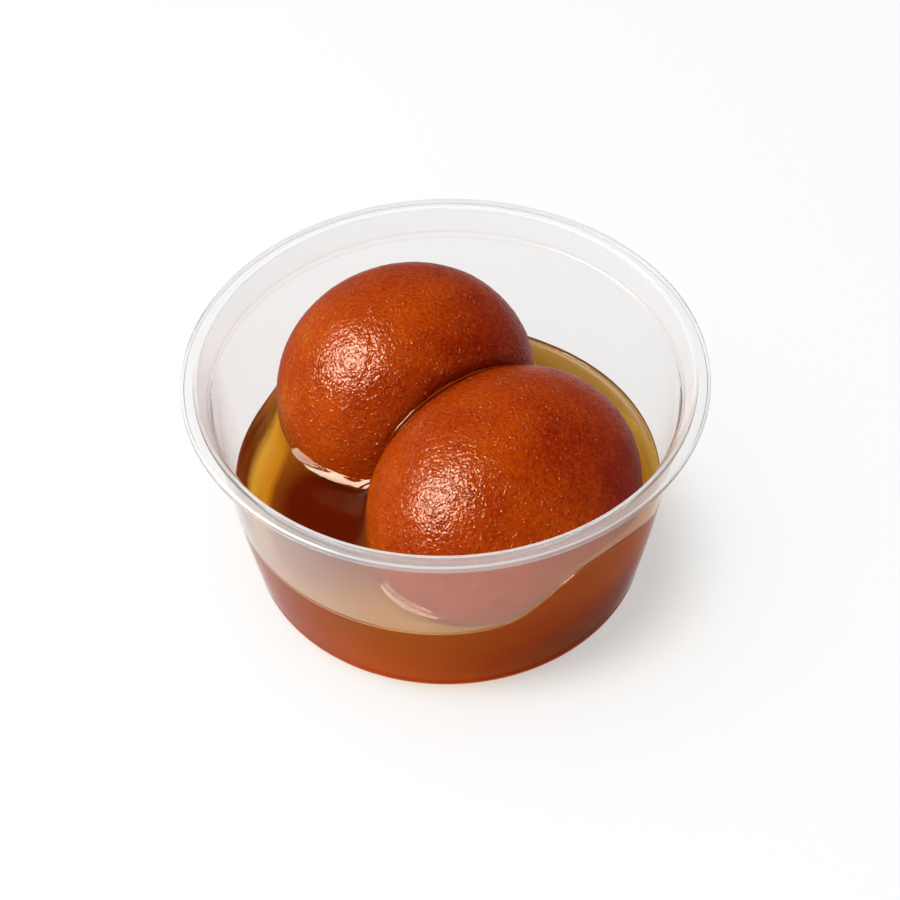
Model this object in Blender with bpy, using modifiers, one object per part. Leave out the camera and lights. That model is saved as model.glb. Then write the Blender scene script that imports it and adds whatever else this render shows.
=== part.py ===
"""Gulab jamun for two: syrup-soaked dough balls standing in syrup in a clear round plastic tub.

Metres, +Z up. The origin is the middle of the tub's underside, where it stands.
The balls are soft: each is an uneven oval, pressed flat where it meets its
neighbour, and kept a hair's breadth inside the tub's wall and floor.
"""
import math

import bmesh
import bpy
import numpy as np

MM = 0.001

# The tub's outline, as radii from its axis and heights from the table
TUB_HEIGHT = 45.8 * MM
RIM_RADIUS = 47.5 * MM          # outer edge of the flat rim
RIM_INNER_RADIUS = 44.4 * MM    # where the flat rim turns down into the mouth
LEDGE_RADIUS = 42.65 * MM       # outer edge of the stacking ledge inside the mouth
LEDGE_DEPTH = 4.6 * MM          # from the rim down to the ledge
WALL_TOP_RADIUS = 42.2 * MM     # inside of the wall just under the ledge
WALL_FOOT_RADIUS = 35.4 * MM    # inside of the wall, run on down to the floor's level
WALL_BOW = 0.7 * MM             # how far the slanted wall swells out at half its height
SKIN = 0.6 * MM                 # thickness of the plastic
LIP_DEPTH = 1.4 * MM            # the rim's turned-down edge
FOOT_ROUND = 3.5 * MM           # outer round between wall and base
FOOT_RISE = 0.5 * MM            # the base is pushed up inside its standing ring
RISE_RADIUS = 28.5 * MM
RISE_SLOPE = 1.5 * MM
EDGE_ROUND = 0.4 * MM           # small round on the rim's edges

# The syrup
SYRUP_LEVEL = 18.5 * MM
CLEARANCE = 0.3 * MM            # gap between pieces that touch

# Round pieces
TURN_STEPS = 64
BALL_DIVISIONS = 4              # an icosphere of this many divisions
LUMP_HEIGHT = 0.14 * MM         # unevenness of the dough
PRESS_SOFTNESS = 0.7 * MM       # how gently a pressed ball turns into its flat spot

# Each ball: middle, half sizes along its squeezed, long and upright axes, the heading
# in degrees of the squeezed axis, and the phase of its unevenness
BALLS = {
    "jamun_rear": {
        "centre": (-7.5 * MM, 20.8 * MM, 22.8 * MM),
        "half_sizes": (23.3 * MM, 25.2 * MM, 22.2 * MM),
        "heading": -55.0,
        "phase": 0.4,
    },
    "jamun_front": {
        "centre": (10.4 * MM, -9.5 * MM, 21.9 * MM),
        "half_sizes": (24.0 * MM, 28.8 * MM, 21.6 * MM),
        "heading": -33.0,
        "phase": 2.1,
    },
}

# The plane along which the balls press on each other, facing the front one, upright
PRESS_POINT = (2.1 * MM, 7.1 * MM)
PRESS_HEADING = -55.0


def clear_scene():
    for old in list(bpy.data.objects):
        bpy.data.objects.remove(old, do_unlink=True)


def new_collection(name):
    collection = bpy.data.collections.new(name)
    bpy.context.scene.collection.children.link(collection)
    return collection


def make_material(name, colour, roughness, transmission=0.0, ior=1.5):
    material = bpy.data.materials.new(name)
    material.use_nodes = True
    shader = material.node_tree.nodes["Principled BSDF"]
    shader.inputs["Base Color"].default_value = (*colour, 1.0)
    shader.inputs["Roughness"].default_value = roughness
    shader.inputs["Metallic"].default_value = 0.0
    shader.inputs["Transmission Weight"].default_value = transmission
    shader.inputs["IOR"].default_value = ior
    return material


def arc(centre, radius, start, end, pieces):
    """Points on an arc of a (radius, height) profile, from start to end in degrees."""
    points = []
    for step in range(pieces + 1):
        angle = math.radians(start + (end - start) * step / pieces)
        points.append((centre[0] + radius * math.cos(angle),
                       centre[1] + radius * math.sin(angle)))
    return points


def wall_radius(height, inset=0.0):
    """Inside radius of the wall at a height: a straight slant plus a parabolic bow."""
    top = TUB_HEIGHT - LEDGE_DEPTH
    share = (height - SKIN) / (top - SKIN)
    slant = WALL_FOOT_RADIUS + (WALL_TOP_RADIUS - WALL_FOOT_RADIUS) * share
    return slant + 4.0 * WALL_BOW * share * (1.0 - share) - inset


def corner_arc(outset, floor, pieces):
    """The round from the wall down to the floor, both moved outwards by outset."""
    radius = FOOT_ROUND - SKIN + outset
    centre_height = floor + radius
    slope = (wall_radius(centre_height + MM) - wall_radius(centre_height - MM)) / (2.0 * MM)
    lean = math.degrees(math.atan(slope))
    centre_radius = wall_radius(centre_height) + outset / math.cos(math.radians(lean))
    centre_radius -= radius / math.cos(math.radians(lean))
    return arc((centre_radius, centre_height), radius, -lean, -90.0, pieces)


def wall_line(outset, bottom, top, pieces):
    """Points down the slanted wall from top to bottom, moved outwards by outset."""
    heights = [top + (bottom - top) * step / pieces for step in range(pieces + 1)]
    return [(wall_radius(height) + outset, height) for height in heights]


def inner_profile(inset, top, wall_pieces, corner_pieces):
    """The inside of the tub from height top down to the axis, drawn in by inset."""
    floor = SKIN + inset
    corner = corner_arc(-inset, floor, corner_pieces)
    wall = wall_line(-inset, corner[0][1], top, wall_pieces)[:-1]
    rise = [(RISE_RADIUS + RISE_SLOPE, floor),
            (RISE_RADIUS, floor + FOOT_RISE),
            (0.0, floor + FOOT_RISE)]
    return wall + corner + rise


def tub_profile():
    """The whole cut through the tub, from the middle of its floor to that of its base."""
    ledge = TUB_HEIGHT - LEDGE_DEPTH
    inside = inner_profile(0.0, ledge - EDGE_ROUND, 4, 3)
    inside.reverse()
    mouth = [(LEDGE_RADIUS - EDGE_ROUND / 3.0, ledge - EDGE_ROUND / 3.0),
             (LEDGE_RADIUS, ledge)]
    mouth += arc((RIM_INNER_RADIUS + EDGE_ROUND, TUB_HEIGHT - EDGE_ROUND),
                 EDGE_ROUND, 165.0, 90.0, 2)
    rim = arc((RIM_RADIUS - EDGE_ROUND, TUB_HEIGHT - EDGE_ROUND), EDGE_ROUND, 90.0, 0.0, 2)
    lip_foot = TUB_HEIGHT - LIP_DEPTH
    rim += [(RIM_RADIUS, lip_foot),
            (RIM_RADIUS - SKIN, lip_foot),
            (RIM_RADIUS - SKIN, TUB_HEIGHT - SKIN),
            (RIM_INNER_RADIUS + SKIN + EDGE_ROUND, TUB_HEIGHT - SKIN)]
    neck = [(LEDGE_RADIUS + SKIN, ledge - SKIN / 2.0),
            (WALL_TOP_RADIUS + SKIN, ledge - SKIN - EDGE_ROUND)]
    corner = corner_arc(SKIN, 0.0, 4)
    wall = wall_line(SKIN, corner[0][1], neck[-1][1], 4)[1:-1]
    base = [(RISE_RADIUS + RISE_SLOPE, 0.0),
            (RISE_RADIUS, FOOT_RISE),
            (0.0, FOOT_RISE)]
    return inside + mouth + rim + neck + wall + corner + base


def turn(name, profile, collection, material):
    """Turn a (radius, height) profile once round the Z axis."""
    mesh = bpy.data.meshes.new(name)
    points = [(radius, 0.0, height) for radius, height in profile]
    edges = [(index, index + 1) for index in range(len(points) - 1)]
    mesh.from_pydata(points, edges, [])
    piece = bpy.data.objects.new(name, mesh)
    collection.objects.link(piece)
    piece.data.materials.append(material)
    screw = piece.modifiers.new("Turn", "SCREW")
    screw.axis = "Z"
    screw.angle = math.tau
    screw.steps = TURN_STEPS
    screw.render_steps = TURN_STEPS
    screw.use_merge_vertices = True
    screw.merge_threshold = 0.00005
    screw.use_smooth_shade = True
    return piece


def heading_vector(heading):
    angle = math.radians(heading)
    return np.array([math.cos(angle), math.sin(angle), 0.0])


def press(distance, clearance):
    """Hold a distance above clearance, turning over gently within the softness."""
    spare = (distance - clearance) / PRESS_SOFTNESS
    return clearance + PRESS_SOFTNESS * np.logaddexp(0.0, spare)


def lumps(directions, phase):
    """A few broad swells over the unit sphere, between about -1 and 1."""
    x, y, z = directions.T
    return (np.sin(3.1 * x + phase) * np.cos(2.7 * y - phase)
            + 0.6 * np.sin(4.3 * z + 2.2 * x + 2.0 * phase)
            + 0.4 * np.cos(5.2 * y - 3.9 * z + phase)) / 2.0


def ball_points(directions, ball, side):
    """Unit directions shaped into an uneven oval, pressed by its neighbour and the tub."""
    squeezed = heading_vector(ball["heading"])
    long_axis = heading_vector(ball["heading"] + 90.0)
    axes = np.stack([squeezed, long_axis, np.array([0.0, 0.0, 1.0])])
    sizes = np.array(ball["half_sizes"]) + LUMP_HEIGHT * lumps(directions, ball["phase"])[:, None]
    points = np.array(ball["centre"]) + (directions * sizes) @ axes
    facing = side * heading_vector(PRESS_HEADING)
    distance = (points - np.array([*PRESS_POINT, 0.0])) @ facing
    points += (press(distance, CLEARANCE / 2.0) - distance)[:, None] * facing
    floor = SKIN + FOOT_RISE
    points[:, 2] = floor + press(points[:, 2] - floor, CLEARANCE)
    reach = np.hypot(points[:, 0], points[:, 1])
    spare = wall_radius(points[:, 2]) - reach
    points[:, :2] *= ((reach + spare - press(spare, CLEARANCE)) / reach)[:, None]
    return points


def make_ball(name, collection, material, inflate=0.0):
    """An icosphere shaped into one of the balls; inflate moves its skin outwards."""
    ball = BALLS[name.removesuffix("_room")]
    side = 1.0 if ball is BALLS["jamun_front"] else -1.0
    cage = bmesh.new()
    bmesh.ops.create_icosphere(cage, subdivisions=BALL_DIVISIONS, radius=1.0)
    directions = np.array([vertex.co.normalized() for vertex in cage.verts])
    for vertex, point in zip(cage.verts, ball_points(directions, ball, side)):
        vertex.co = point
    cage.normal_update()
    for vertex in cage.verts:
        vertex.co += vertex.normal * inflate
    mesh = bpy.data.meshes.new(name)
    cage.to_mesh(mesh)
    cage.free()
    mesh.shade_smooth()
    piece = bpy.data.objects.new(name, mesh)
    collection.objects.link(piece)
    piece.data.materials.append(material)
    return piece


def make_syrup(collection, cutters, material, dough):
    """Syrup up to its level, with room left in it for each ball."""
    profile = [(0.0, SYRUP_LEVEL)] + inner_profile(CLEARANCE, SYRUP_LEVEL, 2, 3)
    syrup = turn("syrup", profile, collection, material)
    for name in BALLS:
        room = make_ball(name + "_room", cutters, dough, CLEARANCE)
        room.hide_render = True
        room.display_type = "WIRE"
        cut = syrup.modifiers.new("Room " + name, "BOOLEAN")
        cut.operation = "DIFFERENCE"
        cut.solver = "EXACT"
        cut.object = room
    return syrup


def main():
    clear_scene()
    parts = new_collection("gulab_jamun")
    cutters = new_collection("cutters")
    plastic = make_material("clear_plastic", (0.93, 0.93, 0.92), 0.08, 0.9, 1.49)
    amber = make_material("amber_syrup", (0.45, 0.16, 0.02), 0.03, 0.8, 1.46)
    dough = make_material("soaked_dough", (0.38, 0.09, 0.015), 0.28)
    turn("tub", tub_profile(), parts, plastic)
    make_syrup(parts, cutters, amber, dough)
    for name in BALLS:
        make_ball(name, parts, dough)


main()
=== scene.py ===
import math

import bpy
import numpy as np
from mathutils import Matrix, Vector


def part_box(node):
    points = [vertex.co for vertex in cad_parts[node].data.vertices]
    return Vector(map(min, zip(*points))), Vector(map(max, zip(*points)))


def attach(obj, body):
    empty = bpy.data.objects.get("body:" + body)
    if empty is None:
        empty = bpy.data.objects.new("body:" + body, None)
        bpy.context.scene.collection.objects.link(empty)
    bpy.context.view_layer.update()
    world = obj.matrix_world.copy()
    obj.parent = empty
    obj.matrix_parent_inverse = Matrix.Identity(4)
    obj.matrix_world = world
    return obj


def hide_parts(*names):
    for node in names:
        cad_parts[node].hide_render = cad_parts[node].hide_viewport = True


# Two gulab jamun standing in amber syrup, in a clear takeaway tub.

mm = 0.001
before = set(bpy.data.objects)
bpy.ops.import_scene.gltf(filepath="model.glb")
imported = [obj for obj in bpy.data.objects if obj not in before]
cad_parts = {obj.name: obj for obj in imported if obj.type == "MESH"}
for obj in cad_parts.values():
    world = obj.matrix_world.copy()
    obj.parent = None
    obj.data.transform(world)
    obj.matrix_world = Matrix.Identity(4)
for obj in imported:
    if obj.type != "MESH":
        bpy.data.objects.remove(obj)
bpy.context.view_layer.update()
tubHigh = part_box("tub")[1]
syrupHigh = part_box("syrup")[1]
print("frame loaded:", sorted(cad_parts))

# The inside of the tub and the two balls, as the solids have them
mould = {
    "wallFootRadius": 35.4 * mm,   # inside of the wall, run on down to the floor's level
    "wallTopRadius": 42.2 * mm,    # inside of the wall just under the ledge
    "wallBow": 0.7 * mm,           # swell of the slanted wall at half its height
    "skin": 0.6 * mm,              # thickness of the plastic
    "ledgeDepth": 4.6 * mm,        # from the rim down to the stacking ledge
    "innerRound": 1.6 * mm,        # round between the wall and the floor, inside
    "footRise": 0.5 * mm,          # the base is pushed up inside its standing ring
    "riseRadius": 28.5 * mm,       # how far out the pushed-up part goes
    "riseSlope": 1.5 * mm,         # and how wide the slope at its edge is
    "gap": 0.3 * mm,               # kept between pieces that touch
    "softness": 0.7 * mm,          # how gently pressed dough turns into its flat spot
    "pressPoint": (2.1 * mm, 7.1 * mm, 0.0),  # the plane where the balls meet
    "pressHeading": -55.0,
    "lumpHeight": 0.14 * mm,       # how uneven the balls are
}


def headingVector(heading):
    angle = math.radians(heading)
    return np.array([math.cos(angle), math.sin(angle), 0.0])


# Inside radius of the wall at a height: a straight slant plus a parabolic bow
def wallRadius(height):
    top = tubHigh.z - mould["ledgeDepth"]
    share = (height - mould["skin"]) / (top - mould["skin"])
    slant = mould["wallFootRadius"] + (mould["wallTopRadius"] - mould["wallFootRadius"]) * share
    return slant + 4.0 * mould["wallBow"] * share * (1.0 - share)


# A distance held above a clearance, turning over as a soft maximum
def press(distance, clearance):
    spare = (distance - clearance) / mould["softness"]
    return clearance + mould["softness"] * np.logaddexp(0.0, spare)


# Puts whole arrays of points and corner numbers into a mesh, with its faces turned outwards
def meshFrom(name, points, quads, triangles, slots=None):
    corners = points[quads]
    halves = np.concatenate([corners[:, [0, 1, 2]], corners[:, [0, 2, 3]], points[triangles]])
    volume = np.einsum("ij,ij->i", halves[:, 0], np.cross(halves[:, 1], halves[:, 2])).sum()
    if volume < 0.0:
        quads, triangles = quads[:, ::-1], triangles[:, ::-1]
    mesh = bpy.data.meshes.new(name)
    mesh.vertices.add(len(points))
    mesh.vertices.foreach_set("co", points.astype(np.float32).ravel())
    corner = np.concatenate([quads.ravel(), triangles.ravel()]).astype(np.int32)
    mesh.loops.add(len(corner))
    mesh.loops.foreach_set("vertex_index", corner)
    starts = np.concatenate([np.arange(len(quads)) * 4,
                             len(quads) * 4 + np.arange(len(triangles)) * 3]).astype(np.int32)
    mesh.polygons.add(len(starts))
    mesh.polygons.foreach_set("loop_start", starts)
    if slots is not None:
        mesh.polygons.foreach_set("material_index", slots.astype(np.int32))
    mesh.update(calc_edges=True)
    mesh.validate()
    mesh.shade_smooth()
    piece = bpy.data.objects.new(name, mesh)
    bpy.context.scene.collection.objects.link(piece)
    return piece


def setAttribute(piece, name, values):
    layer = piece.data.attributes.new(name, "FLOAT", "POINT")
    layer.data.foreach_set("value", values.astype(np.float32))


# A sheet of rows and columns, closed round in its columns. The first and the last row
# are single points, so the sheet shuts at both ends. rowSlots gives each band of faces
# between two rows its material slot.
def closedSheet(name, sheet, rowSlots=None):
    rows, columns = sheet.shape[:2]
    body = sheet[1:-1].reshape(-1, 3)
    points = np.concatenate([sheet[:1, 0], body, sheet[-1:, 0]])
    at = 1 + np.arange((rows - 2) * columns).reshape(rows - 2, columns)
    after = np.roll(at, -1, axis=1)
    quads = np.stack([at[:-1], after[:-1], after[1:], at[1:]], axis=-1).reshape(-1, 4)
    first = np.stack([np.zeros(columns, int), after[0], at[0]], axis=-1)
    last = np.stack([np.full(columns, len(points) - 1), at[-1], after[-1]], axis=-1)
    slots = None
    if rowSlots is not None:
        bands = np.asarray(rowSlots)
        slots = np.concatenate([np.repeat(bands[1:-1], columns),
                                np.full(columns, bands[0]), np.full(columns, bands[-1])])
    return meshFrom(name, points, quads, np.concatenate([first, last]), slots)


# A unit sphere as a square sheet folded over an octahedron, with cells of equal area:
# radius from the middle of the sheet gives the latitude, the share along each side of
# that smaller square gives the longitude. The sheet's rim is joined along its folds.
def foldedSphere(cells):
    line = np.linspace(-1.0, 1.0, cells + 1)
    u, v = np.meshgrid(line, line, indexing="ij")
    across = np.abs(u) + np.abs(v)
    upper = np.where(across <= 1.0, 1.0, -1.0)
    ring = 1.0 - np.abs(1.0 - across)
    safe = np.maximum(ring, 1e-12)
    turn = (math.pi / 4.0) * ((np.abs(v) - np.abs(u)) / safe + 1.0)
    flat = ring * np.sqrt(np.maximum(2.0 - ring * ring, 0.0))
    signU = np.where(u < 0.0, -1.0, 1.0)
    signV = np.where(v < 0.0, -1.0, 1.0)
    sphere = np.stack([signU * flat * np.cos(turn), signV * flat * np.sin(turn),
                       upper * (1.0 - ring * ring)], axis=-1).reshape(-1, 3)
    i, j = np.meshgrid(np.arange(cells + 1), np.arange(cells + 1), indexing="ij")
    edgeI = (i == 0) | (i == cells)
    j = np.where(edgeI, np.minimum(j, cells - j), j)
    edgeJ = (j == 0) | (j == cells)
    i = np.where(edgeJ, np.minimum(i, cells - i), i)
    edgeI = (i == 0) | (i == cells)
    j = np.where(edgeI, np.minimum(j, cells - j), j)
    number = i * (cells + 1) + j
    quads = np.stack([number[:-1, :-1], number[1:, :-1], number[1:, 1:], number[:-1, 1:]],
                     axis=-1).reshape(-1, 4)
    used, quads = np.unique(quads, return_inverse=True)
    return sphere[used], quads.reshape(-1, 4)


# Smooth noise between about -1 and 1: each corner of a cube lattice holds a random
# slope, and the eight slopes round a point are blended by the fade curve 6t5-15t4+10t3
def gradientNoise(points, wavelength, seed):
    table = np.random.default_rng(seed)
    order = table.permutation(256)
    slopes = table.normal(size=(256, 3))
    slopes /= np.linalg.norm(slopes, axis=1, keepdims=True)
    place = points / wavelength
    cell = np.floor(place).astype(int)
    inside = place - cell
    fade = inside ** 3 * (inside * (inside * 6.0 - 15.0) + 10.0)
    total = np.zeros(len(points))
    for dx in (0, 1):
        for dy in (0, 1):
            for dz in (0, 1):
                step = np.array([dx, dy, dz])
                corner = (cell + step) & 255
                pick = order[corner[:, 0]] + corner[:, 1]
                pick = order[(order[pick & 255] + corner[:, 2]) & 255]
                weight = np.prod(np.where(step == 1, fade, 1.0 - fade), axis=1)
                total += weight * np.einsum("ij,ij->i", slopes[pick], inside - step)
    return total * 1.6


# A fall-off from 1 to 0, exp(-(away / width) ^ power): a higher power has a flatter top
def bell(away, width, power=2):
    return np.exp(-(away / width) ** power)


def newMaterial(name):
    material = bpy.data.materials.new(name)
    material.use_nodes = True
    tree = material.node_tree
    return material, tree, tree.nodes["Principled BSDF"]


# Links another node's output to a socket, or sets the socket's own value
def feed(tree, socket, source):
    if isinstance(source, bpy.types.NodeSocket):
        tree.links.new(source, socket)
    else:
        socket.default_value = source


# A new node. A name is one of its inputs or settings; feeds gives inputs by number.
def addNode(tree, kind, feeds=None, **settings):
    node = tree.nodes.new(kind)
    for key, value in settings.items():
        if key in node.inputs:
            feed(tree, node.inputs[key], value)
        else:
            setattr(node, key, value)
    for number, value in (feeds or {}).items():
        feed(tree, node.inputs[number], value)
    return node


# The result of one sum, of numbers or of other nodes' outputs
def reckon(tree, operation, *terms, clamp=False):
    return addNode(tree, "ShaderNodeMath", dict(enumerate(terms)), operation=operation,
                   use_clamp=clamp).outputs[0]


def mixHues(tree, share, first, second, mode="MIX"):
    return addNode(tree, "ShaderNodeMix", {0: share, 6: first, 7: second}, data_type="RGBA",
                   blend_type=mode).outputs[2]


def attribute(tree, name):
    return addNode(tree, "ShaderNodeAttribute", attribute_name=name).outputs["Fac"]


# A share of the way from one number to another
def shareBetween(tree, value, start, end, **settings):
    return addNode(tree, "ShaderNodeMapRange", {0: value, 1: start, 2: end}, **settings).outputs[0]


# A ramp through (position, hue) stops; a single number stands for a grey
def rampThrough(tree, value, stops, interpolation="LINEAR"):
    ramp = addNode(tree, "ShaderNodeValToRGB", {0: value})
    ramp.color_ramp.interpolation = interpolation
    while len(ramp.color_ramp.elements) < len(stops):
        ramp.color_ramp.elements.new(1.0)
    for stop, (position, hue) in zip(ramp.color_ramp.elements, stops):
        stop.position = position
        stop.color = hue if isinstance(hue, tuple) else (hue, hue, hue, 1.0)
    return ramp.outputs[0]


def objectPlace(tree):
    return addNode(tree, "ShaderNodeTexCoord").outputs["Object"]


# Light passes straight through a clear material on its way to what lies behind. Shadow
# rays, rays that leave a dull surface and the soft gloss of the dough meet a plain
# transparent surface; the eye and sharp reflections meet the real one. A socket given
# as also says where they pass straight through too, tinted.
def letLightThrough(tree, shader, colour, also=None, tint=None):
    path = addNode(tree, "ShaderNodeLightPath").outputs
    mirrored = reckon(tree, "MULTIPLY", path["Is Glossy Ray"], path["Is Reflection Ray"])
    soft = reckon(tree, "SUBTRACT", mirrored, path["Is Singular Ray"], clamp=True)
    dull = reckon(tree, "MAXIMUM", soft, path["Is Diffuse Ray"])
    share = reckon(tree, "MAXIMUM", path["Is Shadow Ray"], dull)
    clear = addNode(tree, "ShaderNodeBsdfTransparent", Color=colour)
    if also is not None:
        feed(tree, clear.inputs["Color"], mixHues(tree, share, tint, colour))
        share = reckon(tree, "MAXIMUM", share, also)
    choice = addNode(tree, "ShaderNodeMixShader", {0: share, 1: shader.outputs[0], 2: clear.outputs[0]})
    tree.links.new(choice.outputs[0], tree.nodes["Material Output"].inputs["Surface"])


jamunSize = {
    "cells": 312,
    # relief in the mesh: size of a bump and its height
    "swell": (7.0 * mm, 0.060 * mm),
    "folds": (2.2 * mm, 0.040 * mm),
    "wrinkles": (0.65 * mm, 0.068 * mm),
    "sunk": 0.07 * mm,        # keeps the relief inside the oval
    "creaseShadeReach": 4.0 * mm,  # how far from the other ball the painted crease shade reaches; its hue is below
    "creaseShadeHue": (0.65, 0.45, 0.35, 1.0),
    "paintedLightSide": (-0.95, -0.25, 0.0),  # painted light and shade: lighter on this side, darker opposite
    "paintedLight": 0.12,
    # mottled brown: the noise of the broad patches and of the fine crumb, and its hues
    "patchScale": 70.0,
    "crumbScale": 1200.0,
    "crumbShare": 0.42,
    "hues": ((0.34, (0.25, 0.0105, 0.0004, 1.0)), (0.62, (0.49, 0.062, 0.0014, 1.0)),
             (0.78, (0.60, 0.138, 0.004, 1.0))),
    # the finest leathery wrinkles, and sparse beads of syrup where a noise passes a threshold
    "leatherScale": 2000.0,
    "beadScale": 1300.0,
    "beadFrom": (0.56, 0.68),
    "bumpHeight": 0.16 * mm,
    "glazeRoughness": 0.05,
    "glazeIor": 1.40,
    "glow": 0.2,              # light carried through the dough, and how far in each colour
    "glowReach": (1.0, 0.3, 0.1),
}

balls = {
    "jamun_rear": {
        "piece": "rearJamun",
        "centre": (-7.5 * mm, 20.8 * mm, 22.8 * mm),
        "halfSizes": (23.3 * mm, 25.2 * mm, 22.2 * mm),
        "heading": -55.0,
        "phase": 0.4,
        "side": -1.0,
        "seed": 11,
    },
    "jamun_front": {
        "piece": "frontJamun",
        "centre": (10.4 * mm, -9.5 * mm, 21.9 * mm),
        "halfSizes": (24.0 * mm, 28.8 * mm, 21.6 * mm),
        "heading": -33.0,
        "phase": 2.1,
        "side": 1.0,
        "seed": 23,
    },
}


# A few broad swells over the unit sphere, as sums of sines of its coordinates
def lumps(directions, phase):
    x, y, z = directions.T
    return (np.sin(3.1 * x + phase) * np.cos(2.7 * y - phase)
            + 0.6 * np.sin(4.3 * z + 2.2 * x + 2.0 * phase)
            + 0.4 * np.cos(5.2 * y - 3.9 * z + phase)) / 2.0


# The three directions that a ball's half sizes are measured along, as rows
def ballAxes(ball):
    return np.stack([headingVector(ball["heading"]), headingVector(ball["heading"] + 90.0),
                     np.array([0.0, 0.0, 1.0])])


# Distance from points to a ball's skin: its oval function less one, over its slope
def ballDistance(points, ball):
    local = (points - np.array(ball["centre"])) @ ballAxes(ball).T
    sizes = np.array(ball["halfSizes"])
    scaled = local / sizes
    size = np.sqrt((scaled ** 2).sum(-1))
    slope = np.sqrt(((scaled / sizes) ** 2).sum(-1)) / np.maximum(size, 1e-9)
    return (size - 1.0) / slope


# An uneven oval: each direction times the half sizes, pressed against the neighbour's
# plane, the floor and the wall by soft maxima
def ballPoints(directions, ball):
    sizes = np.array(ball["halfSizes"])
    sizes = sizes + mould["lumpHeight"] * lumps(directions, ball["phase"])[:, None]
    points = np.array(ball["centre"]) + (directions * sizes) @ ballAxes(ball)
    facing = ball["side"] * headingVector(mould["pressHeading"])
    distance = (points - np.array(mould["pressPoint"])) @ facing
    points += (press(distance, mould["gap"] / 2.0) - distance)[:, None] * facing
    floor = mould["skin"] + mould["footRise"]
    points[:, 2] = floor + press(points[:, 2] - floor, mould["gap"])
    reach = np.hypot(points[:, 0], points[:, 1])
    spare = wallRadius(points[:, 2]) - reach
    points[:, :2] *= ((reach + spare - press(spare, mould["gap"])) / reach)[:, None]
    return points


def jamunSkin(ball):
    directions, quads = foldedSphere(jamunSize["cells"])
    points = ballPoints(directions, ball)
    seed = ball["seed"]
    height = np.full(len(points), -jamunSize["sunk"])
    size, rise = jamunSize["swell"]
    height += rise * gradientNoise(points, size, seed)
    size, rise = jamunSize["folds"]
    height += rise * (1.0 - 2.0 * np.abs(gradientNoise(points, size, seed + 1)))
    size, rise = jamunSize["wrinkles"]
    height += rise * gradientNoise(points, size, seed + 2)
    outward = (directions / np.array(ball["halfSizes"])) @ ballAxes(ball)
    outward /= np.linalg.norm(outward, axis=1, keepdims=True)
    points = points + outward * height[:, None]
    piece = meshFrom(ball["piece"], points, quads, np.zeros((0, 3), int))
    # painted crease shade: 1 where the other ball touches, falling off as an exponential of distance
    other = [each for each in balls.values() if each is not ball][0]
    creaseShade = np.exp(-np.maximum(ballDistance(points, other), 0.0) / jamunSize["creaseShadeReach"])
    setAttribute(piece, "creaseShade", creaseShade)
    # painted light and shade: the dough is lighter towards the left and front, darker opposite
    paintedLight = jamunSize["paintedLight"] * (outward @ np.array(jamunSize["paintedLightSide"]))
    setAttribute(piece, "paintedLight", paintedLight)
    return piece


def jamunMaterial():
    material, tree, shader = newMaterial("glazedDough")
    place = objectPlace(tree)
    patches = addNode(tree, "ShaderNodeTexNoise", Vector=place, Scale=jamunSize["patchScale"],
                      Detail=4.0, Roughness=0.55)
    crumb = addNode(tree, "ShaderNodeTexNoise", Vector=place, Scale=jamunSize["crumbScale"],
                    Detail=3.0, Roughness=0.7)
    mottle = addNode(tree, "ShaderNodeMix", {0: jamunSize["crumbShare"], 2: patches.outputs["Fac"],
                                             3: crumb.outputs["Fac"]}, data_type="FLOAT")
    # the mottle with the painted light and shade added
    mottleAndLight = reckon(tree, "ADD", mottle.outputs[0], attribute(tree, "paintedLight"))
    brown = rampThrough(tree, mottleAndLight, jamunSize["hues"])
    # the dough darkened by painted shade near the other ball, deepest in the crease
    darker = mixHues(tree, attribute(tree, "creaseShade"), brown, jamunSize["creaseShadeHue"], "MULTIPLY")
    tree.links.new(darker, shader.inputs["Base Color"])
    leather = addNode(tree, "ShaderNodeTexNoise", Vector=place, Scale=jamunSize["leatherScale"],
                      Detail=0.6, Roughness=0.4, Distortion=0.5)
    beads = addNode(tree, "ShaderNodeTexNoise", Vector=place, Scale=jamunSize["beadScale"], Detail=0.0)
    raised = shareBetween(tree, beads.outputs["Fac"], *jamunSize["beadFrom"],
                          interpolation_type="SMOOTHSTEP")
    height = reckon(tree, "ADD", leather.outputs["Fac"], raised)
    bump = addNode(tree, "ShaderNodeBump", Strength=1.0, Distance=jamunSize["bumpHeight"],
                   Height=height)
    tree.links.new(bump.outputs[0], shader.inputs["Normal"])
    tree.links.new(bump.outputs[0], shader.inputs["Coat Normal"])
    shader.inputs["Roughness"].default_value = 0.5
    shader.inputs["Specular IOR Level"].default_value = 0.0
    shader.inputs["Coat Weight"].default_value = 1.0
    shader.inputs["Coat Roughness"].default_value = jamunSize["glazeRoughness"]
    shader.inputs["Coat IOR"].default_value = jamunSize["glazeIor"]
    shader.inputs["Subsurface Weight"].default_value = jamunSize["glow"]
    shader.inputs["Subsurface Radius"].default_value = jamunSize["glowReach"]
    shader.inputs["Subsurface Scale"].default_value = 2.0 * mm
    return material


dough = jamunMaterial()
for node, ball in balls.items():
    skin = jamunSkin(ball)
    skin.data.materials.append(dough)
    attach(skin, "root")
    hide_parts(node)
print("balls made")

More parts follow.
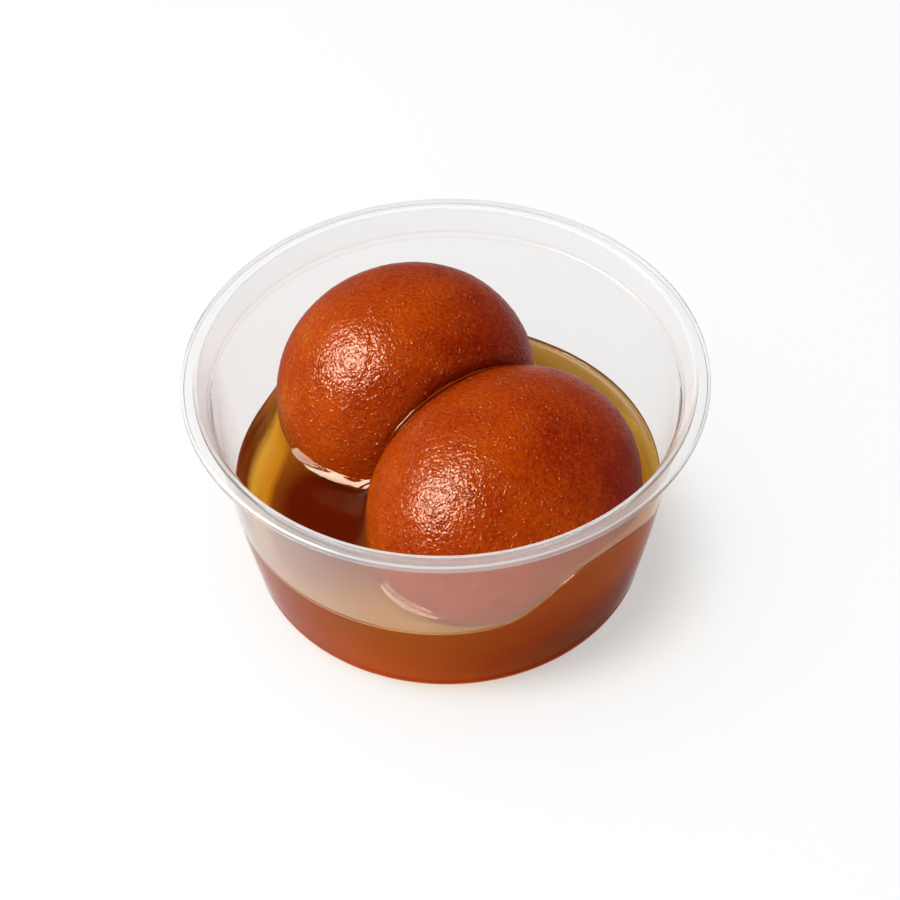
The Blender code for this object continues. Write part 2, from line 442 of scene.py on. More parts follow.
syrup = {
    "level": syrupHigh.z,
    "reach": 0.3 * mm,            # how far it reaches into the plastic
    "centre": (2.1 * mm, 7.1 * mm),  # where the rows of its mesh start from
    "columns": 540,
    "middleShares": (0.0, 0.35, 0.7),  # rows under the balls
    "topRows": 90,                # rows over the open surface,
    "wallRows": 40,               # down the wall,
    "footRows": 12,               # round the foot
    "floorRows": (10, 24),        # and over the floor, outside its step and inside
    "underBalls": 1.5 * mm,       # how far under the balls the open surface starts
    "leastMiddle": 3.0 * mm,
    "leastOpen": 1.0 * mm,
    "bowlRise": 0.75 * mm,        # how far the whole surface dips inwards from the wall
    "bowlWidth": 5.0 * mm,
    "wallRise": 0.35 * mm,        # height of the curved edge at the wall
    "wallWidth": 0.8 * mm,        # how fast it falls off inwards
    "ballRise": 1.8 * mm,         # height of the curved edge at the balls
    "ballWidth": 1.5 * mm,
    "ballSoft": 0.20 * mm,        # rounds it off where it meets the dough
    "climbAzimuth": -50.0,        # where the front ball draws it up the wall
    "climbHeight": 11.2 * mm,
    "climbWidths": (19.0, 29.0),  # degrees to either side
    "climbPower": 2.5,
    "climbReach": 5.0 * mm,       # how far inwards the climb is felt
    "pocket": (-20.5 * mm, 2.5 * mm),  # middle of the painted shade between the balls, on the floor
    "pocketReach": (10.0 * mm, 27.0 * mm),
    "calmSpot": (-19.0 * mm, -5.0 * mm),  # where the surface mirrors less, between the balls
    "calmReach": 9.5 * mm,
    "calmClear": 1.6 * mm,        # how far from the balls that starts
    "calmShare": 0.9,
    # light that leaves straight: radii on the floor between which it comes in, then for the
    # wall its share, the azimuth where there is none, that place's spread, the height that it
    # is all straight below, how much higher that is there, and how softly it ends
    "sheerFloor": (33.8 * mm, 35.2 * mm),
    "sheerWall": 0.45,
    "sheerLeft": 170.0,
    "sheerSpread": 40.0,
    "sheerLow": 10.0 * mm,
    "sheerLowLeft": 3.0 * mm,
    "sheerSoft": 4.5 * mm,
    # painted shade on the wall, the second patch standing for a dark reflection of the front ball:
    # azimuth, spread in degrees, height, spread, strength
    "shades": ((-44.0, 44.0, 6.0 * mm, 11.5 * mm, 0.92), (6.0, 20.0, 9.0 * mm, 11.0 * mm, 0.8),
               (163.0, 28.0, 16.0 * mm, 8.0 * mm, 0.50), (-152.0, 26.0, 5.0 * mm, 12.0 * mm, 0.42)),
    "lineBehind": (-14.0 * mm, 8.0 * mm),  # where along y the painted dark line at the waterline starts, and how softly
    "linePlain": (-40.0, 45.0, 0.9),       # azimuth and spread where the painted pale line is hardly pale, by how much
    # painted highlight, a pale band on top by the wall: azimuth, spread, from, to, and how cloudy it is
    "cream": (52.0, 34.0, 0.5 * mm, 1.1 * mm),
    "creamCloud": 0.55,
    # hues of the painted shade, from none to darkest
    "thickHues": ((0.0, (1.0, 1.0, 1.0, 1.0)), (0.5, (0.55, 0.20, 0.035, 1.0)),
                  (1.0, (0.13, 0.005, 0.0002, 1.0))),
    "milkyHeights": (3.0 * mm, 18.0 * mm),
    "milkyHues": ((0.55, 0.057, 0.0018, 1.0), (0.42, 0.090, 0.009, 1.0)),
    # hue of the pale line along the waterline, a painted highlight
    "lineHue": (0.80, 0.55, 0.32, 1.0),
    "cloudShare": 0.92,           # how much of the light the cloudy wall stops
    "thickShare": 0.6,            # and the painted shade, from inside
    "straightShare": 0.15,        # light that passes the cloudy wall straight
    "straightHue": (0.95, 0.62, 0.16, 1.0),
    "shadowHue": (0.97, 0.95, 0.92, 1.0),
    "amber": (0.87, 0.67, 0.02, 1.0),
    "amberDensity": 125.0,
    "ior": 1.46,
}

# The thread of syrup held in the crease between the balls
crease = {
    "steps": 260,
    "around": 14,
    "reach": 24.0 * mm,           # half its length, a little past both ends of the crease
    "radius": 0.34 * mm,
    "swell": 0.24 * mm,
    "swellLength": 2.5 * mm,
    "leastRadius": 0.03 * mm,
    "glazeNoiseScale": 400.0,
    # hues of the glaze, their darkness partly painted crease shade
    "hues": ((0.0, (0.10, 0.006, 0.0005, 1.0)), (1.0, (0.36, 0.040, 0.002, 1.0))),
}


# Height the syrup climbs the wall by the front ball: a bell about its nearest azimuth,
# flat-topped and wider on one side than on the other
def climbRise(azimuth):
    away = np.degrees(azimuth) - syrup["climbAzimuth"]
    away = (away + 180.0) % 360.0 - 180.0
    width = np.where(away < 0.0, syrup["climbWidths"][0], syrup["climbWidths"][1])
    return syrup["climbHeight"] * np.exp(-np.abs(away / width) ** syrup["climbPower"])


# Surface height over the plan: the level, the climb by the wall fading inwards, and an
# exponential edge at the wall and at each ball, less where it climbs
def syrupHeight(x, y):
    radius = np.hypot(x, y)
    azimuth = np.arctan2(y, x)
    rise = climbRise(azimuth)
    toWall = np.maximum(wallRadius(syrup["level"] + rise) - radius, 0.0)
    height = syrup["level"] + rise * bell(toWall, syrup["climbReach"])
    calm = (1.0 - rise / syrup["climbHeight"]) ** 8
    height = height + syrup["bowlRise"] * np.exp(-toWall / syrup["bowlWidth"])
    height = height + calm * syrup["wallRise"] * np.exp(-toWall / syrup["wallWidth"])
    points = np.stack([x, y, height], axis=-1)
    soft = syrup["ballSoft"]
    for ball in balls.values():
        toBall = soft * np.logaddexp(0.0, ballDistance(points, ball) / soft)
        height = height + calm * syrup["ballRise"] * np.exp(-toBall / syrup["ballWidth"])
    return height


# Height of the syrup's edge on the wall
def waterLine(azimuth):
    radius = wallRadius(syrup["level"] + climbRise(azimuth))
    return syrupHeight(radius * np.cos(azimuth), radius * np.sin(azimuth))


# Distance from the syrup's centre along each heading to a circle about the tub's axis
def toCircle(heading, radius):
    cx, cy = syrup["centre"]
    along = cx * np.cos(heading) + cy * np.sin(heading)
    return -along + np.sqrt(along ** 2 - (cx * cx + cy * cy) + radius ** 2)


# Distance from the centre along each heading until both balls are left behind
def toBalls(heading):
    cx, cy = syrup["centre"]
    low = np.zeros_like(heading)
    high = np.full_like(heading, 60.0 * mm)
    for _ in range(30):
        middle = (low + high) / 2.0
        points = np.stack([cx + middle * np.cos(heading), cy + middle * np.sin(heading),
                           np.full_like(heading, syrup["level"])], axis=-1)
        inside = np.min([ballDistance(points, ball) for ball in balls.values()], axis=0) < 0.0
        low = np.where(inside, middle, low)
        high = np.where(inside, high, middle)
    return (low + high) / 2.0


# A row of points round the tub's axis
def ringRow(radius, height, azimuth):
    return np.stack([radius * np.cos(azimuth), radius * np.sin(azimuth),
                     height + np.zeros_like(azimuth)], axis=-1)


# The syrup as one sheet of rows: outwards over its surface along headings from its centre,
# then down the wall, round the foot and in over the floor at the azimuths it reached
def syrupSheet():
    columns = syrup["columns"]
    reach = syrup["reach"]
    heading = np.linspace(0.0, 2.0 * math.pi, columns, endpoint=False)
    cx, cy = syrup["centre"]
    middle = np.maximum(toBalls(heading) - syrup["underBalls"], syrup["leastMiddle"])
    # where each heading meets the wall, at the height that the syrup reaches there
    radius = np.full(columns, wallRadius(syrup["level"]))
    for _ in range(8):
        outer = toCircle(heading, radius)
        azimuth = np.arctan2(cy + outer * np.sin(heading), cx + outer * np.cos(heading))
        radius = wallRadius(waterLine(azimuth)) + reach
    middle = np.minimum(middle, outer - syrup["leastOpen"])
    rows = [middle * share for share in syrup["middleShares"]]
    for share in np.linspace(0.0, 1.0, syrup["topRows"]):
        eased = 0.5 - 0.5 * math.cos(math.pi * share)
        rows.append(middle + (outer - middle) * (0.5 * share + 0.5 * eased))
    rows = np.array(rows)
    x = cx + rows * np.cos(heading)
    y = cy + rows * np.sin(heading)
    top = np.stack([x, y, syrupHeight(x, y)], axis=-1)
    edgeHeight = top[-1, :, 2]
    floor = mould["skin"] - reach
    corner = mould["innerRound"] + reach
    cornerTop = floor + corner
    side = []
    for share in np.linspace(0.0, 1.0, syrup["wallRows"])[1:]:
        height = edgeHeight + (cornerTop - edgeHeight) * share
        side.append(ringRow(wallRadius(height) + reach, height, azimuth))
    footRadius = wallRadius(cornerTop) + reach
    for angle in np.linspace(0.0, math.pi / 2.0, syrup["footRows"])[1:]:
        side.append(ringRow(footRadius - corner * (1.0 - math.cos(angle)),
                            cornerTop - corner * math.sin(angle), azimuth))
    step = mould["riseRadius"]
    outside, inside = syrup["floorRows"]
    for r in np.linspace(footRadius - corner, step + mould["riseSlope"], outside)[1:]:
        side.append(ringRow(r, floor, azimuth))
    for share in np.linspace(1.0, 0.0, inside):
        side.append(ringRow(step * share, floor + mould["footRise"], azimuth))
    return np.concatenate([top, np.array(side)]), len(top)


# Five shares from 0 to 1 over the sheet. openSurface is how much it mirrors: the top does,
# less between the balls, and what lies against the plastic doesn't. cloud is 1 against the
# slanted wall. sheer is how much light leaves straight: all of it round the foot, fading in
# over the floor, and up the wall more at the back and right than on the left. The painted
# shade share is 1 where the syrup is made to look darkest: between the balls on the floor,
# in a few places on the wall and along the waterline at the back, all of it painted shade.
# edge is high along the waterline, which shows as a pale line, and on the pale band by the
# wall: both are painted highlights.
def syrupShares(sheet, topRows):
    names = ("openSurface", "cloud", "sheer", "thick", "edge")
    share = {name: np.zeros(sheet.shape[:2]) for name in names}
    edgeRow = topRows - 1
    wallEnd = edgeRow + syrup["wallRows"]
    top = slice(0, edgeRow)
    wall = slice(edgeRow, wallEnd)
    base = slice(wallEnd, len(sheet))
    x, y, height = sheet[..., 0], sheet[..., 1], sheet[..., 2]
    radius = np.hypot(x, y)
    turn = np.degrees(np.arctan2(y, x))
    clear = np.min([ballDistance(sheet[top], ball) for ball in balls.values()], axis=0)
    spotX, spotY = syrup["calmSpot"]
    away = np.hypot(x[top] - spotX, y[top] - spotY)
    calm = syrup["calmShare"] * (1.0 - bell(clear, syrup["calmClear"], 4))
    share["openSurface"][top] = 1.0 - calm * bell(away, syrup["calmReach"], 4)
    share["cloud"][edgeRow:wallEnd + 3] = 1.0  # and a little way round the foot
    near, far = syrup["sheerFloor"]
    share["sheer"][base] = np.clip((radius - near) / (far - near), 0.0, 1.0)[base]
    fromLeft = (turn - syrup["sheerLeft"] + 180.0) % 360.0 - 180.0
    left = bell(fromLeft, syrup["sheerSpread"])
    upWall = syrup["sheerWall"] - syrup["sheerWall"] * left
    lowTop = syrup["sheerLow"] + syrup["sheerLowLeft"] * left
    low = np.clip((lowTop - height) / syrup["sheerSoft"], 0.0, 1.0)
    share["sheer"][wall] = (upWall + (1.0 - upWall) * low)[wall]
    # painted shade: between the balls on the floor, then in patches on the wall
    pocketX, pocketY = syrup["pocket"]
    near, far = syrup["pocketReach"]
    away = np.hypot(x - pocketX, y - pocketY)
    share["thick"][base] = np.clip((far - away) / (far - near), 0.0, 1.0)[base]
    for middle, spread, tallest, tall, strength in syrup["shades"]:
        patch = strength * np.exp(-((turn - middle) / spread) ** 2 - ((height - tallest) / tall) ** 2)
        share["thick"][wall] = np.maximum(share["thick"][wall], patch[wall])
    # the waterline: a painted dark line from inside at the back and the left, a painted pale highlight
    # from outside
    line = slice(edgeRow, edgeRow + 2)
    start, soft = syrup["lineBehind"]
    behind = np.clip((y[line] - start) / soft, 0.0, 1.0)
    share["sheer"][line] *= 1.0 - behind
    share["thick"][line] = np.maximum(share["thick"][line], behind)
    middle, spread, strength = syrup["linePlain"]
    share["edge"][edgeRow] = 1.0 - strength * bell(turn[edgeRow] - middle, spread, 4)
    # the pale band, a painted highlight, on top only
    middle, spread, near, far = syrup["cream"]
    inFrom = wallRadius(height) - radius
    band = bell(inFrom - (near + far) / 2.0, (far - near) / 2.0, 4) * bell(turn - middle, spread, 4)
    share["cloud"][top] = syrup["creamCloud"] * band[top]
    share["edge"][top] = band[top]
    return share


def syrupBody():
    sheet, topRows = syrupSheet()
    piece = closedSheet("syrupBody", sheet)
    for name, share in syrupShares(sheet, topRows).items():
        values = np.concatenate([share[0, :1], share[1:-1].ravel(), share[-1, :1]])
        setAttribute(piece, name, values)
    return piece


# Clear amber that takes its colour from its depth. From outside, the slanted wall looks
# milky, orange near the foot and browner near the waterline, with a pale line along the
# waterline that is a painted highlight; from inside, places of painted shade are amber or dark.
def syrupMaterial():
    material, tree, shader = newMaterial("amberSyrup")
    shader.inputs["Roughness"].default_value = 0.0
    shader.inputs["IOR"].default_value = syrup["ior"]
    shader.inputs["Specular IOR Level"].default_value = 0.0
    tree.links.new(attribute(tree, "openSurface"), shader.inputs["Specular Tint"])
    # painted shade: darkens the colour, and from inside stops more of the light
    thick = attribute(tree, "thick")
    fromInside = addNode(tree, "ShaderNodeNewGeometry").outputs["Backfacing"]
    cloudy = reckon(tree, "SUBTRACT", attribute(tree, "cloud"), fromInside, clamp=True)
    thickInside = reckon(tree, "MULTIPLY", thick, fromInside)
    clear = reckon(tree, "MULTIPLY_ADD", cloudy, -syrup["cloudShare"], 1.0)
    clear = reckon(tree, "MULTIPLY_ADD", thickInside, -syrup["thickShare"], clear, clamp=True)
    tree.links.new(clear, shader.inputs["Transmission Weight"])
    split = addNode(tree, "ShaderNodeSeparateXYZ", {0: objectPlace(tree)})
    up = shareBetween(tree, split.outputs[2], *syrup["milkyHeights"])
    milky = mixHues(tree, cloudy, (1.0, 1.0, 1.0, 1.0), mixHues(tree, up, *syrup["milkyHues"]))
    whole = mixHues(tree, 1.0, milky, rampThrough(tree, thick, syrup["thickHues"]), "MULTIPLY")
    # painted highlight: the pale line at the waterline and the pale band, seen from outside
    line = reckon(tree, "SUBTRACT", attribute(tree, "edge"), fromInside, clamp=True)
    tree.links.new(mixHues(tree, line, whole, syrup["lineHue"]), shader.inputs["Base Color"])
    volume = addNode(tree, "ShaderNodeVolumeAbsorption", Density=syrup["amberDensity"],
                     Color=syrup["amber"])
    tree.links.new(volume.outputs[0], tree.nodes["Material Output"].inputs["Volume"])
    leaving = reckon(tree, "MULTIPLY", attribute(tree, "sheer"), fromInside)
    straight = reckon(tree, "MULTIPLY_ADD", cloudy, syrup["straightShare"], leaving)
    letLightThrough(tree, shader, syrup["shadowHue"], straight, syrup["straightHue"])
    return material


# Height of a ball's top over points of the plan, from its oval
def ovalTop(points, ball):
    sizes = np.array(ball["halfSizes"])
    local = (points - np.array(ball["centre"])) @ ballAxes(ball).T / sizes
    left = np.maximum(1.0 - local[:, 0] ** 2 - local[:, 1] ** 2, 0.0)
    return ball["centre"][2] + sizes[2] * np.sqrt(left)


# A thread of syrup along the crease: a tube round the line where the lower of the two ovals
# meets the plane between them. Past the ovals it runs on level for about 5 mm at each end.
# Its radius is a base plus noise, tapering at its ends
def creaseThread():
    steps = crease["steps"]
    along = headingVector(mould["pressHeading"] + 90.0)
    reach = np.linspace(-crease["reach"], crease["reach"], 4 * steps)
    path = np.array(mould["pressPoint"]) + reach[:, None] * along
    path[:, 2] = np.min([ovalTop(path, ball) for ball in balls.values()], axis=0)
    path = path[np.linspace(0, len(path) - 1, steps).astype(int)]
    ahead = np.gradient(path, axis=0)
    ahead /= np.linalg.norm(ahead, axis=1, keepdims=True)
    across = headingVector(mould["pressHeading"])
    up = np.cross(ahead, across)
    share = np.linspace(0.0, 1.0, steps)
    radius = crease["radius"] + crease["swell"] * gradientNoise(path, crease["swellLength"], 5)
    radius = np.maximum(radius, crease["leastRadius"]) * np.sqrt(np.sin(math.pi * share))
    turn = np.linspace(0.0, 2.0 * math.pi, crease["around"], endpoint=False)
    ring = np.cos(turn)[None, :, None] * across + np.sin(turn)[None, :, None] * up[:, None, :]
    return closedSheet("creaseThread", path[:, None, :] + radius[:, None, None] * ring)


# Glaze under a glossy coat, its dark red partly a painted shade of the crease, darker and lighter at
# random
def creaseMaterial():
    material, tree, shader = newMaterial("creaseGlaze")
    glazeNoise = addNode(tree, "ShaderNodeTexNoise", Vector=objectPlace(tree), Scale=crease["glazeNoiseScale"],
                    Detail=2.0)
    hue = rampThrough(tree, glazeNoise.outputs["Fac"], crease["hues"])
    tree.links.new(hue, shader.inputs["Base Color"])
    shader.inputs["Roughness"].default_value = 0.4
    shader.inputs["Specular IOR Level"].default_value = 0.0
    shader.inputs["Coat Weight"].default_value = 1.0
    shader.inputs["Coat Roughness"].default_value = 0.03
    return material


liquid = syrupBody()
liquid.data.materials.append(syrupMaterial())
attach(liquid, "root")
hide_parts("syrup")
thread = creaseThread()
thread.data.materials.append(creaseMaterial())
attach(thread, "root")
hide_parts("syrup")
print("syrup made, highest", round(syrup["climbHeight"] / mm, 1), "mm over its level")

tub = {
    "rimRadius": tubHigh.x,
    "rimInnerRadius": 44.4 * mm,
    "ledgeRadius": 42.65 * mm,    # the neck, just above the stacking ledge
    "lipDepth": 1.4 * mm,         # how far the rim is turned down
    "footRound": 3.5 * mm,
    "edgeRound": 0.3 * mm,
    "columns": 400,
    "baseRing": 10.0 * mm,        # a row of its own on the flat base
    "belowLedge": (0.5 * mm, 1.3 * mm),  # where the slanted wall ends, inside and outside
    # mist on the plastic: where it is measured along x, (share of the way, haze) there,
    # and from, to, share here and share there along y
    "mistAlong": (-46.0 * mm, 28.0 * mm),
    "innerMist": ((0.0, 0.50), (0.18, 0.46), (0.35, 0.33), (0.5, 0.275), (1.0, 0.275)),
    "outerMist": ((0.0, 0.28), (0.18, 0.12), (0.30, 0.03), (0.45, 0.0), (1.0, 0.0)),
    "mistBack": (-12.0 * mm, 10.0 * mm, 1.0, 0.15),
    "mistHues": ((0.90, 0.895, 0.89, 1.0), (0.95, 0.76, 0.64, 1.0)),
    "warmFront": (0.0, -20.0 * mm),      # along y, where the second hue comes in
    "plasticHue": (0.96, 0.96, 0.955, 1.0),
    "shadowHue": (0.985, 0.985, 0.985, 1.0),
}

# The plastics of the shell: outside, dry inside, wet inside, rim, and the rim's pale edges, whose haze
# is partly a painted highlight
outerSlot, innerSlot, wetSlot, rimSlot, lipSlot = range(5)


# The tub as one closed sheet: a profile of rows run round the axis, from the middle of the
# floor up the inside, over the rim and down the outside to the middle of the base. The wet
# part of the wall ends on the syrup's waterline.
def tubShell():
    skin = mould["skin"]
    top = tubHigh.z
    ledge = top - mould["ledgeDepth"]
    rise = mould["footRise"]
    riseRadius, riseSlope = mould["riseRadius"], mould["riseSlope"]
    rim, rimInner, neck = tub["rimRadius"], tub["rimInnerRadius"], tub["ledgeRadius"]
    columns = tub["columns"]
    azimuth = np.linspace(-math.pi, math.pi, columns, endpoint=False)
    wet = waterLine(azimuth)
    # each row is (radius, height) arrays over the columns, with the slot of the band after it
    rows = []
    ones = np.ones(columns)

    def addRow(radius, height, slot):
        rows.append((radius * ones, height * ones, slot))

    # rows on an arc about a point, between two angles; those numbered in pale are the lip's
    def addArc(radius, height, bend, start, end, pieces, slot, pale=(), skip=0):
        angle = np.radians(np.linspace(start, end, pieces + 1))
        points = list(zip(radius + bend * np.cos(angle), height + bend * np.sin(angle)))
        for n, (r, z) in enumerate(points[skip:], skip):
            addRow(r, z, lipSlot if n in pale else slot)

    for r in (0.0, tub["baseRing"], riseRadius - skin):
        addRow(r, skin + rise, wetSlot)
    for share in np.linspace(0.0, 1.0, 7):
        addRow(riseRadius + riseSlope * share,
               skin + rise * (0.5 + 0.5 * math.cos(math.pi * share)), wetSlot)
    corner = mould["innerRound"]
    cornerHeight = skin + corner
    addArc(wallRadius(cornerHeight) - corner, cornerHeight, corner, -90.0, 0.0, 14, wetSlot)
    for share in np.linspace(0.0, 1.0, 26)[1:]:
        height = cornerHeight + (wet - cornerHeight) * share
        addRow(wallRadius(height), height, wetSlot if share < 1.0 else innerSlot)
    insideGap, outsideGap = tub["belowLedge"]
    wallEnd = ledge - insideGap
    for share in np.linspace(0.0, 1.0, 26)[1:]:
        height = wet + (wallEnd - wet) * share
        addRow(wallRadius(height), height, innerSlot)
    # the ledge and the neck
    bend = tub["edgeRound"]
    addArc(wallRadius(ledge) + bend * 1.1, ledge - bend, bend, 178.0, 100.0, 5, innerSlot)
    addArc(neck - bend * 0.5, ledge + bend * 0.6, bend * 0.6, -80.0, 0.0, 5, rimSlot)
    for share in np.linspace(0.0, 1.0, 14)[1:-1]:
        addRow(neck + (rimInner - neck) * share ** 1.3,
               ledge + bend + (top - 2.0 * bend - ledge) * share, innerSlot)
    # the flat rim and its turned-down lip
    addArc(rimInner + bend * 1.2, top - bend, bend, 165.0, 90.0, 7, lipSlot)
    for share in np.linspace(0.0, 1.0, 6)[1:-1]:
        addRow(rimInner + bend * 1.2 + (rim - rimInner - 2.6 * bend) * share, top, rimSlot)
    addArc(rim - bend * 1.4, top - bend * 1.4, bend * 1.4, 90.0, 0.0, 8, rimSlot, range(1, 6))
    lip = skin * 0.45
    lipFoot = top - tub["lipDepth"]
    addArc(rim - lip, lipFoot + lip, lip, 0.0, -180.0, 10, rimSlot, range(1, 4))
    addArc(rim - skin - bend, top - skin - bend, bend, 0.0, 90.0, 5, rimSlot)
    # back under the rim and down the outside of the neck
    addArc(rimInner + skin + bend * 2.0, top - skin - bend * 1.2, bend * 1.2, 90.0, 175.0, 6, rimSlot)
    neckTop = top - skin - 2.4 * bend
    for share in np.linspace(0.0, 1.0, 12)[1:-1]:
        addRow(rimInner + skin + (neck - rimInner) * share,
               neckTop + (ledge + 0.2 * mm - top + skin + 2.4 * bend) * share, rimSlot)
    addArc(neck + skin - bend * 1.6, ledge + bend * 0.2, bend * 1.6, 0.0, -60.0, 6, rimSlot)
    # the slanted wall, the foot and the base
    outerTop = ledge - outsideGap
    foot = tub["footRound"]
    for share in np.linspace(0.0, 1.0, 50):
        height = outerTop + (foot - outerTop) * share
        addRow(wallRadius(height) + skin, height, outerSlot)
    addArc(wallRadius(foot) + skin - foot, foot, foot, 0.0, -90.0, 18, outerSlot, skip=1)
    for share in np.linspace(0.0, 1.0, 7):
        addRow(riseRadius + riseSlope * (1.0 - share),
               rise * (0.5 - 0.5 * math.cos(math.pi * share)), outerSlot)
    addRow(tub["baseRing"], rise, outerSlot)
    addRow(0.0, rise, outerSlot)
    radii = np.array([row[0] for row in rows])
    heights = np.array([row[1] for row in rows])
    slots = [row[2] for row in rows][:-1]
    sheet = np.stack([radii * np.cos(azimuth), radii * np.sin(azimuth), heights], axis=-1)
    return closedSheet("tubShell", sheet, slots)


# Clear plastic with an even haze. tint is how much it mirrors, and gloss is a coat over it.
def plasticMaterial(name, ior, haze, tint, gloss, glossRoughness):
    material, tree, shader = newMaterial(name)
    shader.inputs["Base Color"].default_value = tub["plasticHue"]
    shader.inputs["Transmission Weight"].default_value = 1.0 - haze
    shader.inputs["Roughness"].default_value = 0.0
    shader.inputs["IOR"].default_value = ior
    shader.inputs["Specular Tint"].default_value = (tint, tint, tint, 1.0)
    shader.inputs["Coat Weight"].default_value = gloss
    shader.inputs["Coat Roughness"].default_value = glossRoughness
    letLightThrough(tree, shader, tub["shadowHue"])
    return material, tree, shader


# The slanted wall is mistier in front and to the left: its haze follows a ramp along x and
# falls off towards the back along y. The mist is white, and warmer in front to the right.
def mistyPlastic(name, mist):
    material, tree, shader = plasticMaterial(name, 1.05, 0.1, 0.0, 0.0, 0.2)
    split = addNode(tree, "ShaderNodeSeparateXYZ", {0: objectPlace(tree)})
    along = shareBetween(tree, split.outputs[0], *tub["mistAlong"])
    start, end, here, there = tub["mistBack"]
    back = addNode(tree, "ShaderNodeMapRange",
                   {0: split.outputs[1], 1: start, 2: end, 3: here, 4: there})
    haze = reckon(tree, "MULTIPLY", rampThrough(tree, along, mist, "B_SPLINE"), back.outputs[0])
    tree.links.new(reckon(tree, "SUBTRACT", 1.0, haze), shader.inputs["Transmission Weight"])
    ahead = shareBetween(tree, split.outputs[1], *tub["warmFront"])
    warm = reckon(tree, "MULTIPLY", along, ahead)
    tree.links.new(mixHues(tree, warm, *tub["mistHues"]), shader.inputs["Base Color"])
    return material


shell = tubShell()
for plastic in (mistyPlastic("outerPlastic", tub["outerMist"]),
                mistyPlastic("innerPlastic", tub["innerMist"]),
                plasticMaterial("wetPlastic", 1.05, 0.0, 0.0, 0.0, 0.03)[0],
                plasticMaterial("rimPlastic", 1.07, 0.15, 1.0, 1.0, 0.05)[0],
                # the pale edges: a hazy plastic that partly paints the highlight lines of the rim
                plasticMaterial("lipPlastic", 1.07, 0.50, 1.0, 1.0, 0.05)[0]):
    shell.data.materials.append(plastic)
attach(shell, "root")
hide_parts("tub")
print("tub made")

studio = {
    "target": (0.53 * mm, 0.0, 25.5 * mm),
    "elevation": 45.72,
    "distance": 520.0 * mm,
    "roll": -1.2,
    "lens": 112.76,
    "floorSize": 6.0,
    "floorDrop": 0.02 * mm,       # keeps the floor just below the base
    "floorHue": (0.54, 0.54, 0.54, 1.0),
    "floorGlow": 0.42,            # a lit table, so that shadows stay pale
    "mirroredGlow": 0.2,          # share of that glow in the dough's gloss
    # what the dough's gloss mirrors of the floor: dark, but for a pale patch close behind
    "patchCentre": (15.0 * mm, 75.0 * mm, 0.0),
    "patchReach": (75.0 * mm, 35.0 * mm),
    "patchHues": ((0.02, 0.02, 0.02, 1.0), (0.34, 0.25, 0.26, 1.0)),
    "keyHeading": (-0.36, -0.14, 0.92),
    "glintHeading": (-0.66, -0.04, 0.74),
    "keyDistance": 1.0,
    "keySize": (0.46, 0.56),
    "keyPower": 6.6,
    "keyColour": (1.0, 1.0, 1.0),
    "glintPower": 27.0,           # a wider softbox further to the left, for gloss only
    "glintSize": (0.66, 0.74),
    "glintColour": (1.0, 0.84, 0.62),
    "surround": 0.55,             # brightness of the white room
    "leftward": 0.5,              # how much brighter its left side is
    # what glossy things mirror of the room: (sine of elevation, brightness)
    "mirrored": ((0.0, 0.10), (0.15, 0.08), (0.4, 0.04), (1.0, 0.02)),
}


def makeFloor():
    half = studio["floorSize"] / 2.0
    corners = [(-half, -half, 0.0), (half, -half, 0.0), (half, half, 0.0), (-half, half, 0.0)]
    mesh = bpy.data.meshes.new("floor")
    mesh.from_pydata(corners, [], [(0, 1, 2, 3)])
    mesh.transform(Matrix.Translation((0.0, 0.0, -studio["floorDrop"])))
    floor = bpy.data.objects.new("floor", mesh)
    bpy.context.scene.collection.objects.link(floor)
    material, tree, shader = newMaterial("palePaper")
    shader.inputs["Roughness"].default_value = 0.9
    shader.inputs["Emission Color"].default_value = (1.0, 1.0, 1.0, 1.0)
    shader.inputs["Specular IOR Level"].default_value = 0.0
    away = addNode(tree, "ShaderNodeVectorMath", {0: objectPlace(tree), 1: studio["patchCentre"]},
                   operation="DISTANCE")
    near = shareBetween(tree, away.outputs["Value"], *studio["patchReach"])
    path = addNode(tree, "ShaderNodeLightPath").outputs
    soft = reckon(tree, "SUBTRACT", path["Is Glossy Ray"], path["Is Singular Ray"], clamp=True)
    gloss = reckon(tree, "SUBTRACT", soft, path["Is Transmission Ray"], clamp=True)
    patch = mixHues(tree, near, *studio["patchHues"])
    tree.links.new(mixHues(tree, gloss, studio["floorHue"], patch), shader.inputs["Base Color"])
    dimmer = (studio["mirroredGlow"] - 1.0) * studio["floorGlow"]
    glow = reckon(tree, "MULTIPLY_ADD", gloss, dimmer, studio["floorGlow"])
    tree.links.new(glow, shader.inputs["Emission Strength"])
    floor.data.materials.append(material)


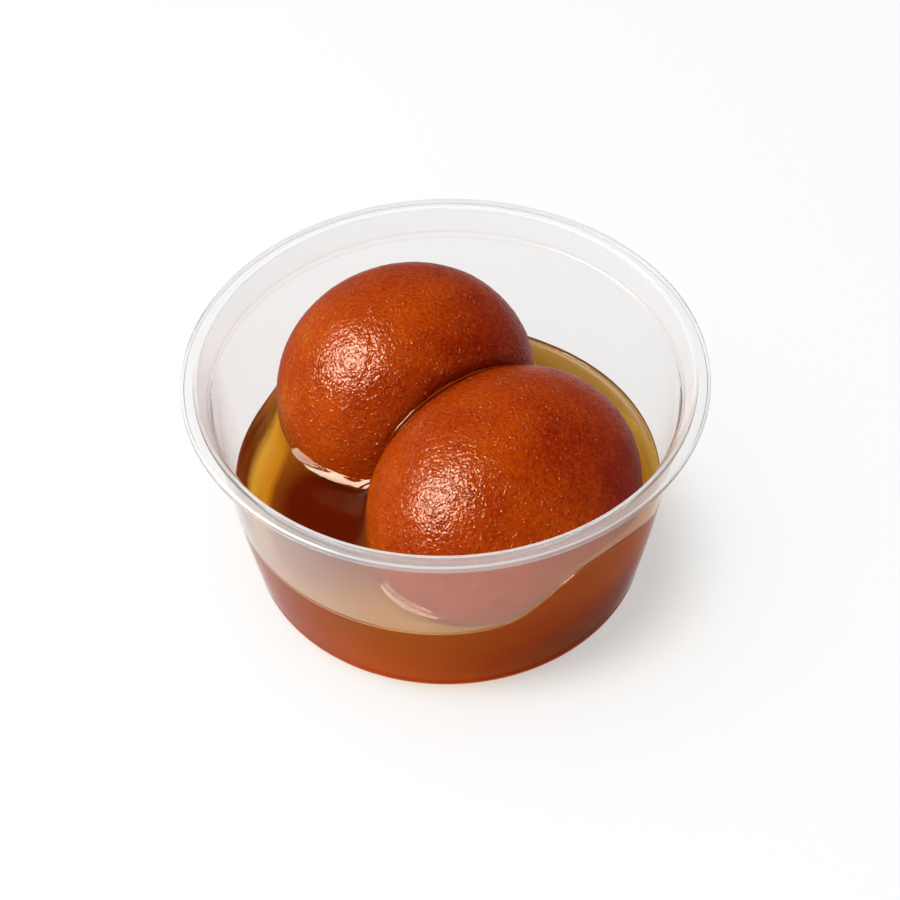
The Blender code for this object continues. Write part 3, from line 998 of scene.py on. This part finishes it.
# Two softboxes and a white room. The key lights dull surfaces only and the glint shows in
# gloss only, so that each has its own place. Glossy things mirror a darker room than the
# one that lights dull surfaces, and what the camera sees of it is white.
def makeLight():
    target = Vector(studio["target"])
    for name in ("key", "glint"):
        heading = Vector(studio[name + "Heading"]).normalized()
        data = bpy.data.lights.new(name + "Softbox", "AREA")
        data.shape = "ELLIPSE"
        data.size, data.size_y = studio[name + "Size"]
        data.energy = studio[name + "Power"]
        data.color = studio[name + "Colour"]
        softbox = bpy.data.objects.new(name + "Softbox", data)
        bpy.context.scene.collection.objects.link(softbox)
        softbox.location = target + heading * studio["keyDistance"]
        softbox.rotation_euler = heading.to_track_quat("Z", "Y").to_euler()
        softbox.visible_diffuse = name == "key"
        softbox.visible_glossy = name == "glint"
    world = bpy.data.worlds.new("studioWhite")
    world.use_nodes = True
    tree = world.node_tree
    back = tree.nodes["Background"]
    back.inputs["Color"].default_value = (1.0, 1.0, 1.0, 1.0)
    heading = addNode(tree, "ShaderNodeTexCoord").outputs["Generated"]
    split = addNode(tree, "ShaderNodeSeparateXYZ", {0: heading})
    path = addNode(tree, "ShaderNodeLightPath").outputs
    fill = reckon(tree, "MULTIPLY_ADD", split.outputs[0], -studio["surround"] * studio["leftward"],
                  studio["surround"])
    room = rampThrough(tree, split.outputs[2], studio["mirrored"])
    mirrored = addNode(tree, "ShaderNodeMix", {0: path["Is Glossy Ray"], 2: fill, 3: room},
                       data_type="FLOAT")
    seen = addNode(tree, "ShaderNodeMix", {0: path["Is Camera Ray"], 2: mirrored.outputs[0], 3: 1.0},
                   data_type="FLOAT")
    tree.links.new(seen.outputs[0], back.inputs["Strength"])
    bpy.context.scene.world = world


def makeCamera():
    elevation = math.radians(studio["elevation"])
    roll = math.radians(studio["roll"])
    ahead = Vector((0.0, math.cos(elevation), -math.sin(elevation)))
    eye = Vector(studio["target"]) - ahead * studio["distance"]
    level = Vector((1.0, 0.0, 0.0))
    right = level * math.cos(roll) + level.cross(ahead) * math.sin(roll)
    up = right.cross(ahead)
    data = bpy.data.cameras.new("camera")
    data.lens = studio["lens"]
    data.sensor_width = 36.0
    data.clip_start = 0.01
    camera = bpy.data.objects.new("camera", data)
    bpy.context.scene.collection.objects.link(camera)
    turn = Matrix((right, up, -ahead)).transposed().to_4x4()
    camera.matrix_world = Matrix.Translation(eye) @ turn
    bpy.context.scene.camera = camera


makeFloor()
makeLight()
makeCamera()
scene = bpy.context.scene
scene.view_settings.view_transform = "Standard"
scene.cycles.max_bounces = 24
scene.cycles.transmission_bounces = 24
scene.cycles.transparent_max_bounces = 24
print("studio set")
